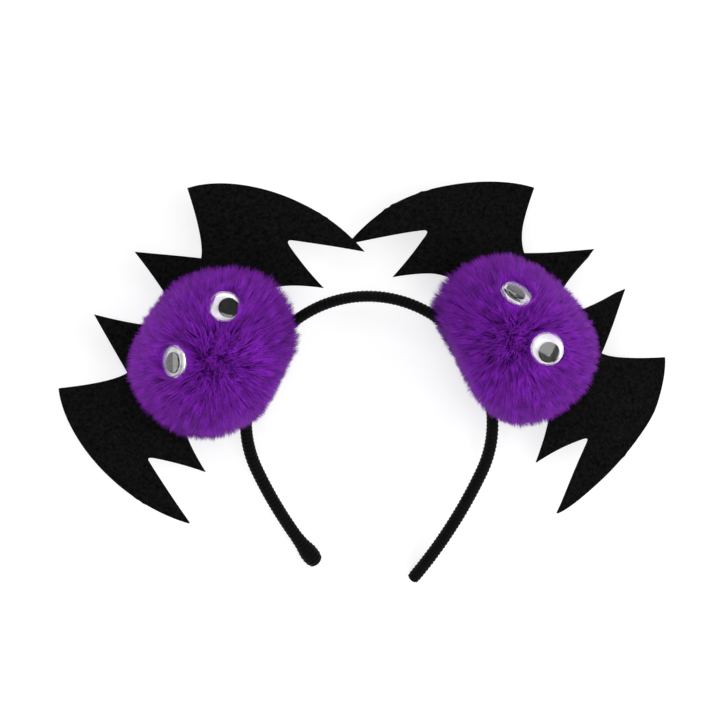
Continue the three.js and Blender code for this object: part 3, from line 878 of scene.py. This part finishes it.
def band_near(bat, place):
    """The band's centre line near a bat, seen from its pompom's middle in the bat's frame, with its
    directions across and up."""
    flat, direction, _ = band_path(1.2 * MM)
    flat = np.pad(flat, ((0, 0), (0, 1)))
    sideways = np.stack([-direction[:, 1], direction[:, 0], 0 * direction[:, 0]], -1)
    middle = place(flat)
    local = to_bat(bat, middle) - pom_offset(bat)
    near = np.linalg.norm(local, axis=1) < 50 * MM
    origin = to_bat(bat, np.zeros(3))
    across = to_bat(bat, (place(flat + sideways) - middle)[near]) - origin
    above = to_bat(bat, (place(flat + UP) - middle)[near]) - origin
    return local[near], across, above


def clear_of_band(points, band):
    """Points inside the band's oval section are moved straight out to its edge."""
    middle, across, above = band
    flat = points.reshape(-1, 3).copy()
    for chunk in np.array_split(np.arange(len(flat)), 12):
        gap = flat[chunk][:, None, :] - middle[None, :, :]
        nearest = np.argmin((gap**2).sum(-1), axis=1)
        offset = flat[chunk] - middle[nearest]
        a = (offset * across[nearest]).sum(-1)
        b = (offset * above[nearest]).sum(-1)
        share = np.sqrt((a / BAND_GAP_ACROSS) ** 2 + (b / BAND_GAP_ABOVE) ** 2)
        inside = (share < 1) & (nearest > 0) & (nearest < len(middle) - 1)
        push = np.where(inside, 1 / np.maximum(share, 0.05) - 1, 0)
        flat[chunk] += (a * push)[:, None] * across[nearest] + (b * push)[:, None] * above[nearest]
    return flat.reshape(points.shape)


def eye_frames(side):
    """Place of the middle of each eye's back and the direction it looks in, from the frame's pupil
    joints."""
    found = []
    for joint in frame["joints"]:
        if side in joint["name"]:
            name = joint["name"].replace("pupil_roll_", "")
            axis = unit(np.array(joint["axis"], float))
            found.append((name, np.array(joint["pos_m"]) - axis * PUPIL_HEIGHT, axis))
    return found


def dome_height(radius):
    """Height of the clear dome's outside over the eye's back at a distance from its axis, as a half
    ellipse."""
    rim = 3.3 * MM
    rise = 1.9 * MM
    return rim + rise * np.sqrt(np.maximum(0, 1 - (radius / EYE_RADIUS) ** 2))


def clear_of_eye(points, place, axis, crown, lap):
    """Strands stay clear of an eye on the side where they are rooted: a point inside the eye's ring is
    drawn back along the direction of its root until it is out, and the ring narrows to nothing deep under
    the eye. On the side where the fur's crown is, tips may lie on the dome as far in from its rim as the
    lap, and such a strand climbs over the rim. Elsewhere the fur dips low enough before a leaning eye that,
    from above, it hides no more of the eye's back than the lap."""
    offset = points - place
    height = offset @ axis
    flat = offset - height[..., None] * axis
    toward = unit(flat[:, 0])
    sideways = np.cross(axis, toward)
    out = (flat * toward[:, None, :]).sum(-1)
    aside = (flat * sideways[:, None, :]).sum(-1)
    to_crown = crown - place
    to_crown = unit(to_crown - (to_crown @ axis) * axis)
    facing = smooth((toward @ to_crown - REST_START) / REST_EASE)
    leaning = np.linalg.norm(axis[:2]) / axis[2]
    seen = EYE_RADIUS - lap
    inner = EYE_RING - np.maximum(0, EYE_RING - seen - REST_HEIGHT * leaning) * facing
    wanted = EYE_RING * smooth((height + RING_DEPTH) / RING_RISE)
    wanted[:, -1] = np.where(height[:, -1] > 0, np.minimum(wanted[:, -1], inner), wanted[:, -1])
    ring = np.sqrt(np.maximum(0, wanted**2 - aside**2))
    moved = np.where(np.abs(aside) < wanted, np.maximum(out, ring), out)
    radius = np.hypot(moved, aside)
    rests = (height[:, -1] > 0) & (radius[:, -1] < EYE_RING - 0.1 * MM)
    lowest = np.full(height.shape, -np.inf)
    lowest[:, -1] = dome_height(radius[:, -1]) + REST_GAP
    lowest[:, 1:-1] = RIM_HEIGHT
    raised = np.where(rests[:, None], np.maximum(height, lowest), height)
    flat = moved[..., None] * toward[:, None, :] + aside[..., None] * sideways[:, None, :]
    uphill = unit(UP - axis[2] * axis)
    rise = flat @ uphill
    across = flat @ np.cross(axis, uphill)
    shade = rise - raised * leaning
    hides = (raised > 0) & (rise > 0) & (shade**2 + across**2 < seen**2) & ~rests[:, None]
    lowered = (rise - np.sqrt(np.maximum(0, seen**2 - across**2))) / max(leaning, 0.05)
    raised = np.where(hides, np.maximum(0.3 * MM, np.minimum(raised, lowered)), raised)
    return place + raised[..., None] * axis + flat


def crown_direction(bat):
    """Direction from the pompom's middle to where its fur parts, in the bat's own frame."""
    c, s = turn_of(bat)
    x, y = bat["crown"]
    return unit(np.array([(c * x + s * y) * MM, (-s * x + c * y) * MM, POM_RADIUS]))


# Where a strand has its points, as shares of its length
STATIONS = np.array([0, 0.6, 1])


def fur_strands(bat, settings, band):
    """Middle lines of a pompom's strands, as (strands, points, 3), in the bat's own frame seen from the
    pompom's middle, with each strand's own value and the random numbers to go on with.

    A strand runs from the dark core out to the fur's reach. It starts in its own direction and bends, by
    the power 1.6 of its length, towards a direction that leans away from the crown and towards its lock.
    Near the crown the locks pull less and the strands stray more.
    """
    random = np.random.default_rng(bat["seed"])
    count = settings.strands
    root = even_directions(count, random)
    crown = crown_direction(bat)
    away = root * (root @ crown)[:, None] - crown
    from_crown = np.arccos(np.clip(root @ crown, -1, 1))
    lean = settings.lean * smooth(from_crown / 0.5) * (1 - 0.8 * smooth((from_crown - 0.9) / 1.2))
    lean = lean * random.uniform(0.6, 1.4, count)
    tip = unit(root + unit(away) * lean[:, None])
    locks = even_directions(settings.locks, random)
    lock_value = random.uniform(0, 1, settings.locks)
    lock_pull = random.uniform(*LOCK_PULL, settings.locks)
    lock_reach = random.normal(*LOCK_REACH, settings.locks)
    near_crown = 1 - smooth((np.arccos(np.clip(locks @ crown, -1, 1)) - 0.15) / 0.5)

    def chance_turn(turn, number, crown_share):
        least, added = turn
        return random.normal(0, 1, (number, 3)) * (least + added * crown_share)[:, None]

    lock_turn = chance_turn(LOCK_TURN, settings.locks, near_crown)
    nearest = np.concatenate([np.argmax(part @ locks.T, axis=1) for part in np.array_split(tip, 24)])
    pull = (lock_pull * (1 - 0.55 * near_crown))[nearest] * random.uniform(0.6, 1.0, count)
    strand_turn = chance_turn(STRAND_TURN, count, near_crown[nearest])
    target = unit(locks[nearest] + lock_turn[nearest])
    tip = unit(tip + (target - tip) * pull[:, None] + lock_turn[nearest] * 0.5 + strand_turn)
    reach = POM_RADIUS * fur_reach(bat, tip) * lock_reach[nearest]
    reach = reach * (LONGEST - np.abs(random.normal(0, LENGTH_SPREAD, count)))
    start = core_reach(bat, root, band) - 0.5 * MM
    direction = unit(root[:, None, :] + (tip - root)[:, None, :] * (STATIONS**BEND_POWER)[None, :, None])
    radius = start[:, None] + (reach - start)[:, None] * STATIONS[None, :]
    points = direction * radius[..., None]
    points = points + random.normal(0, 0.3 * MM, (count, 1, 3)) * np.array([0, 1, -0.4])[None, :, None]
    value = 0.4 * lock_value[nearest] + 0.6 * random.uniform(0, 1, count)
    return points, value, random


def part_fur(bat, points, band):
    """The strands part round the felt, the band and the eyes. They are returned in the frame of the whole
    headband."""
    pom = pom_offset(bat)
    x = points[..., 0] + pom[0]
    y = points[..., 1] + pom[1]
    upper, lower, _ = outline_heights(bat)
    inside = y < np.interp(np.abs(x), upper[:, 0], upper[:, 1]) + FELT_MARGIN
    inside &= y > np.interp(np.abs(x), lower[:, 0], lower[:, 1]) - FELT_MARGIN
    sheet = sheet_height(bat, x, y)
    above = np.maximum(points[..., 2], sheet + FELT_GAP)
    below = np.minimum(points[..., 2], sheet - FELT_GAP)
    lifted = np.where(points[:, :1, 2] > 0, above, below)
    points[..., 2] = np.where(inside, lifted, points[..., 2])
    points = clear_of_band(points, band)
    world = to_world(bat, points + pom)
    crown = to_world(bat, crown_direction(bat) * POM_RADIUS + pom)
    for name, place, axis in eye_frames(bat["side"]):
        lap = bat["laps"][name.split("_")[1]] * MM
        world = clear_of_eye(world, place, axis, crown, lap)
    return world


def strand_mesh(name, points, value, width, random):
    """Three-sided tapered strands round middle lines. Each point of a line but its last carries a ring of
    three corners, square to the line and turned by a chance angle, and the last is the tip. u runs along
    the strand, and v is the strand's own value."""
    count, stations = points.shape[:2]
    along = unit(np.gradient(points, axis=1) + 1e-9)
    seed = random.normal(0, 1, (count, 1, 3))
    one = unit(np.cross(along, seed))
    two = np.cross(along, one)
    taper = np.array([0.9, 1.0])[None, :, None, None] * width
    taper = taper * random.uniform(0.75, 1.25, (count, 1, 1, 1))
    angle = 2 * math.pi * np.arange(3) / 3
    ring = (
        points[:, :-1, None, :]
        + taper * np.cos(angle)[None, None, :, None] * one[:, :-1, None, :]
        + taper * np.sin(angle)[None, None, :, None] * two[:, :-1, None, :]
    )
    rings = stations - 1
    each = rings * 3 + 1
    corners = np.concatenate([ring.reshape(count, -1, 3), points[:, -1:, :]], axis=1)
    sides_of = []
    for i in range(rings - 1):
        for k in range(3):
            n = (k + 1) % 3
            sides_of.append([i * 3 + k, i * 3 + n, (i + 1) * 3 + n, (i + 1) * 3 + k])
    last = (rings - 1) * 3
    fans = [[last + k, last + (k + 1) % 3, rings * 3] for k in range(3)]
    fans.append([2, 1, 0])
    offset = (np.arange(count) * each)[:, None, None]
    quads = (np.array(sides_of)[None] + offset).reshape(-1)
    triangles = (np.array(fans)[None] + offset).reshape(-1)
    loops = np.concatenate([quads, triangles])
    sides = np.concatenate([np.full(len(quads) // 4, 4), np.full(len(triangles) // 3, 3)])
    u = np.concatenate([np.repeat(STATIONS[:-1], 3), [1.0]])
    uv = np.stack([np.broadcast_to(u, (count, each)), np.broadcast_to(value[:, None], (count, each))], -1)
    return add_mesh(name, corners.reshape(-1, 3), loops, sides, uv.reshape(-1, 2))


def fur_core(bat, band, name):
    """The dark core under the fur: a ball, drawn in at the band, with a slot round its waist for the
    felt."""
    around = 72
    pom = pom_offset(bat)
    turn = 2 * math.pi * np.arange(around) / around
    waist = CORE_HOLE - 0.6 * MM
    quarter = math.pi / 2 - CORE_SLOT_ANGLE
    level = np.linspace(0, 1, 22)
    inward = (0.02, 0.35, 0.7, 1.0)

    def ring(polar):
        flat = np.sin(polar)
        direction = np.stack([flat * np.cos(turn), flat * np.sin(turn), np.full(around, np.cos(polar))], -1)
        return direction * core_reach(bat, direction, band)[:, None]

    def slot_ring(edge, share, up):
        flat = edge[:, :2]
        flat = flat + (waist / np.linalg.norm(flat, axis=1) - 1)[:, None] * flat * share
        height = sheet_height(bat, flat[:, 0] + pom[0], flat[:, 1] + pom[1])
        return np.column_stack([flat, height + up * CORE_SLOT])

    rows = [ring(share * quarter) for share in level[1:]]
    rows += [slot_ring(rows[-1], share, 1) for share in inward]
    low = ring(math.pi - quarter)
    rows += [slot_ring(low, share, -1) for share in inward[::-1]]
    rows += [ring(math.pi - quarter + share * quarter) for share in level[:-1]]
    rings = np.stack(rows)[:, ::-1]
    top = np.array([0, 0, core_reach(bat, UP[None], band)[0]])
    bottom = np.array([0, 0, -core_reach(bat, -UP[None], band)[0]])
    world = to_world(bat, rings + pom)
    ends = to_world(bat, np.stack([top, bottom]) + pom)
    return add_skin(name, world, ends[0], ends[1])


# Operators


class MakeRibbonBand(bpy.types.Operator):
    """Makes the band wound with black ribbon, with its knobbed left tip and blunt right tip"""

    bl_idname = "bat_headband.make_ribbon_band"
    bl_label = "Make the ribbon band"

    def execute(self, context):
        settings = context.scene.bat_headband_band
        place = band_placer()
        rings, at, wound = band_surface(place, BAND_STEP, BAND_AROUND, settings.rib * MM)
        ends = np.stack([rings[0].mean(axis=0), rings[-1].mean(axis=0)])
        uv = np.stack([at, wound], -1).reshape(-1, 2)
        uv = np.concatenate([uv, [[at[0, 0], 0.5], [at[-1, 0], 0.5]]])
        band = add_skin("ribbon_band", rings, ends[0], ends[1], uv)
        band.data.materials.append(ribbon_material(settings))
        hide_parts("headband")
        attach(band, ROOT)
        return {"FINISHED"}


class MakeFeltBats(bpy.types.Operator):
    """Makes the two bats cut from black felt, wings and ears in one sheet each"""

    bl_idname = "bat_headband.make_felt_bats"
    bl_label = "Make the felt bats"

    def execute(self, context):
        settings = context.scene.bat_headband_felt
        material = felt_material(settings)
        for bat in BATS:
            points, loops, sides, flat = felt_sheet(bat, settings)
            sheet = add_mesh(f"felt_sheet_{bat['side']}", points, loops, sides, flat)
            sheet.data.materials.append(material)
            wall = sheet.modifiers.new("felt wall", "SOLIDIFY")
            wall.thickness = settings.thickness * MM
            wall.offset = 0
            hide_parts(f"felt_bat_{bat['side']}")
            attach(sheet, ROOT)
        return {"FINISHED"}


class MakeFur(bpy.types.Operator):
    """Makes each pompom from a dark core and tapered strands gathered in locks"""

    bl_idname = "bat_headband.make_fur"
    bl_label = "Make the fur"

    def execute(self, context):
        settings = context.scene.bat_headband_fur
        material = fur_material(settings)
        roots = core_material(settings)
        place = band_placer()
        for bat in BATS:
            side = bat["side"]
            band = band_near(bat, place)
            core = fur_core(bat, band[0], f"fur_core_{side}")
            core.data.materials.append(roots)
            pieces = [core]
            points, value, random = fur_strands(bat, settings, band[0])
            points = part_fur(bat, points, band)
            low = TABLE_GAP + random.uniform(0, TABLE_GAP_SPREAD, len(points))
            points[..., 2] = np.maximum(points[..., 2], low[:, None])
            width = settings.width * MM
            order = np.arange(len(points))
            for name, part in zip(("crown", "sides", "under"), np.array_split(order, 3)):
                piece = strand_mesh(f"fur_{name}_{side}", points[part], value[part], width, random)
                piece.data.materials.append(material)
                pieces.append(piece)
            for piece in pieces:
                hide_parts(f"pompom_{side}")
                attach(piece, ROOT)
        return {"FINISHED"}


def back_profile():
    """Half section of the white back, from the middle of its upper face round its rim to the middle of its
    underside: (distance from the axis, height)."""
    corner = 0.25 * MM
    turn = np.linspace(math.pi / 2, -math.pi / 2, 9)
    middle = np.where(np.arange(9) < 5, BACK_THICKNESS - corner, corner)
    rim = np.stack([EYE_RADIUS - corner + corner * np.cos(turn), middle + corner * np.sin(turn)], -1)
    top = [(out * MM, BACK_THICKNESS) for out in (0, 3, 5.5, 6.8)]
    bottom = [(out * MM, 0) for out in (6.8, 3, 0)]
    return np.concatenate([top, rim, bottom])


def pupil_profile():
    """Half section of the pupil: a flat disc with rounded edges."""
    corner = 0.2 * MM
    turn = np.linspace(math.pi / 2, 0, 6)
    out = PUPIL_RADIUS - corner + corner * np.cos(turn)
    up = np.stack([out, PUPIL_THICKNESS - corner + corner * np.sin(turn)], -1)
    down = np.stack([up[::-1, 0], PUPIL_THICKNESS - up[::-1, 1]], -1)
    top = [(out * MM, PUPIL_THICKNESS) for out in (0, 2, 3.6)]
    return np.concatenate([top, up, down, [(2 * MM, 0), (0, 0)]])


def dome_profile():
    """Half section of the clear dome: outside from its crown over the shoulder and down the skirt to the
    little flange, and back up the inside."""
    turn = np.linspace(0, math.pi / 2, 16)
    inner = DOME_RADIUS - DOME_WALL
    outside = np.stack([DOME_RADIUS * np.sin(turn), DOME_SKIRT + DOME_RISE * np.cos(turn)], -1)
    foot = np.array([
        (DOME_RADIUS, 1.2 * MM),
        (DOME_RADIUS, 0.5 * MM),
        (DOME_RADIUS + 0.12 * MM, 0.36 * MM),
        (EYE_RADIUS, 0.32 * MM),
        (EYE_RADIUS, 0),
        (inner, 0),
    ])
    inside = np.stack([inner * np.sin(turn), DOME_SKIRT + (DOME_RISE - DOME_WALL) * np.cos(turn)], -1)
    return np.concatenate([outside, foot, inside[::-1]])


def aim(points, place, axis):
    """From an eye's own frame, +Z out of its dome, to its place on the fur: the shortest turn from +Z to
    its axis."""
    cross = np.cross(UP, axis)
    cosine = float(UP @ axis)
    skew = np.array([[0, -cross[2], cross[1]], [cross[2], 0, -cross[0]], [-cross[1], cross[0], 0]])
    turn = np.eye(3) + skew + skew @ skew / (1 + cosine)
    return points @ turn.T + place


class MakeEyes(bpy.types.Operator):
    """Makes the four googly eyes: white backs, loose black pupils and clear domes"""

    bl_idname = "bat_headband.make_eyes"
    bl_label = "Make the eyes"

    def execute(self, context):
        settings = context.scene.bat_headband_eye
        white = gloss_material("eye white", settings.white, 300.0, 0.35, 0.5, 0.5)
        black = gloss_material("pupil black", settings.black, 500.0, 0.25, 0.4, 0.2)
        clear = dome_material()
        for side in ("left", "right"):
            for name, place, axis in eye_frames(side):
                low, high = (np.array(corner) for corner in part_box(f"eye_pupil_{name}"))
                pupil_foot = (low + high) / 2 - axis * PUPIL_THICKNESS / 2
                dome_foot = place + axis * PUPIL_HEIGHT
                parts = (
                    ("back", back_profile(), place, white, "eye_white", ROOT),
                    ("pupil", pupil_profile(), pupil_foot, black, "eye_black", f"pupil_{name}"),
                    ("dome", dome_profile(), dome_foot, clear, "eye_clear", ROOT),
                )
                for part, profile, at, material, slot, body in parts:
                    rings, ends = turned(profile, 64)
                    rings = aim(rings[:, ::-1], at, axis)
                    piece = add_skin(f"{part}_{name}", rings, *aim(ends, at, axis))
                    piece.data.materials.append(material)
                    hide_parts(f"eye_{part}_{name}")
                    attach(piece, body)
        return {"FINISHED"}


def area_light(name, place, size, power):
    """A soft light at a place, facing the headband."""
    light = bpy.data.lights.new(name, "AREA")
    light.shape = "RECTANGLE"
    light.size, light.size_y = size
    light.energy = power
    thing = bpy.data.objects.new(name, light)
    bpy.context.scene.collection.objects.link(thing)
    thing.location = place
    thing.rotation_euler = (Vector(LIT_PLACE) - Vector(place)).to_track_quat("-Z", "Y").to_euler()


class SetStage(bpy.types.Operator):
    """Sets a plain pale floor, soft studio light and the camera straight above"""

    bl_idname = "bat_headband.set_stage"
    bl_label = "Set the stage"

    def execute(self, context):
        settings = context.scene.bat_headband_stage
        scene = context.scene
        corners = FLOOR_HALF_WIDTH * np.array([(-1, -1, 0), (1, -1, 0), (1, 1, 0), (-1, 1, 0)], float)
        floor = add_mesh("floor", corners, np.arange(4), np.array([4]), smooth_shade=False)
        finish = Finish(
            "pale floor", Base_Color=four(settings.floor), Roughness=0.8, Specular_IOR_Level=0.1,
            Emission_Color=(1, 1, 1, 1), Emission_Strength=settings.floor_glow)
        floor.data.materials.append(finish.material)
        camera = bpy.data.cameras.new("camera")
        camera.lens = settings.focal
        camera.sensor_width = 36
        camera.clip_end = 20
        viewer = bpy.data.objects.new("camera", camera)
        viewer.location = (*CAMERA_PLACE, settings.camera_height)
        scene.collection.objects.link(viewer)
        scene.camera = viewer
        for light in LIGHTS:
            area_light(*light)
        world = bpy.data.worlds.new("studio")
        world.use_nodes = True
        set_values(world.node_tree.nodes["Background"], {"Color": (1, 1, 1, 1), "Strength": WORLD_STRENGTH})
        scene.world = world
        scene.view_settings.view_transform = "Standard"
        scene.view_settings.look = "None"
        return {"FINISHED"}


class BatHeadbandPanel(bpy.types.Panel):
    bl_idname = "VIEW3D_PT_bat_headband"
    bl_label = "Bat Headband"
    bl_space_type = "VIEW_3D"
    bl_region_type = "UI"
    bl_category = "Bat Headband"

    def draw(self, context):
        for part, operator in OPERATORS:
            box = self.layout.box()
            settings = getattr(context.scene, f"bat_headband_{part}")
            for name in settings.__annotations__:
                box.prop(settings, name)
            box.operator(operator.bl_idname)


SETTINGS = (
    ("band", BandSettings),
    ("felt", FeltSettings),
    ("fur", FurSettings),
    ("eye", EyeSettings),
    ("stage", StageSettings),
)
OPERATORS = (
    ("stage", SetStage),
    ("band", MakeRibbonBand),
    ("felt", MakeFeltBats),
    ("fur", MakeFur),
    ("eye", MakeEyes),
)


def register():
    for part, group in SETTINGS:
        bpy.utils.register_class(group)
        setattr(bpy.types.Scene, f"bat_headband_{part}", bpy.props.PointerProperty(type=group))
    for _, operator in OPERATORS:
        bpy.utils.register_class(operator)
    bpy.utils.register_class(BatHeadbandPanel)


def unregister():
    bpy.utils.unregister_class(BatHeadbandPanel)
    for _, operator in reversed(OPERATORS):
        bpy.utils.unregister_class(operator)
    for part, group in reversed(SETTINGS):
        delattr(bpy.types.Scene, f"bat_headband_{part}")
        bpy.utils.unregister_class(group)


def main():
    register()
    for _, operator in OPERATORS:
        group, name = operator.bl_idname.split(".")
        getattr(getattr(bpy.ops, group), name)()


if __name__ == "__main__":
    main()
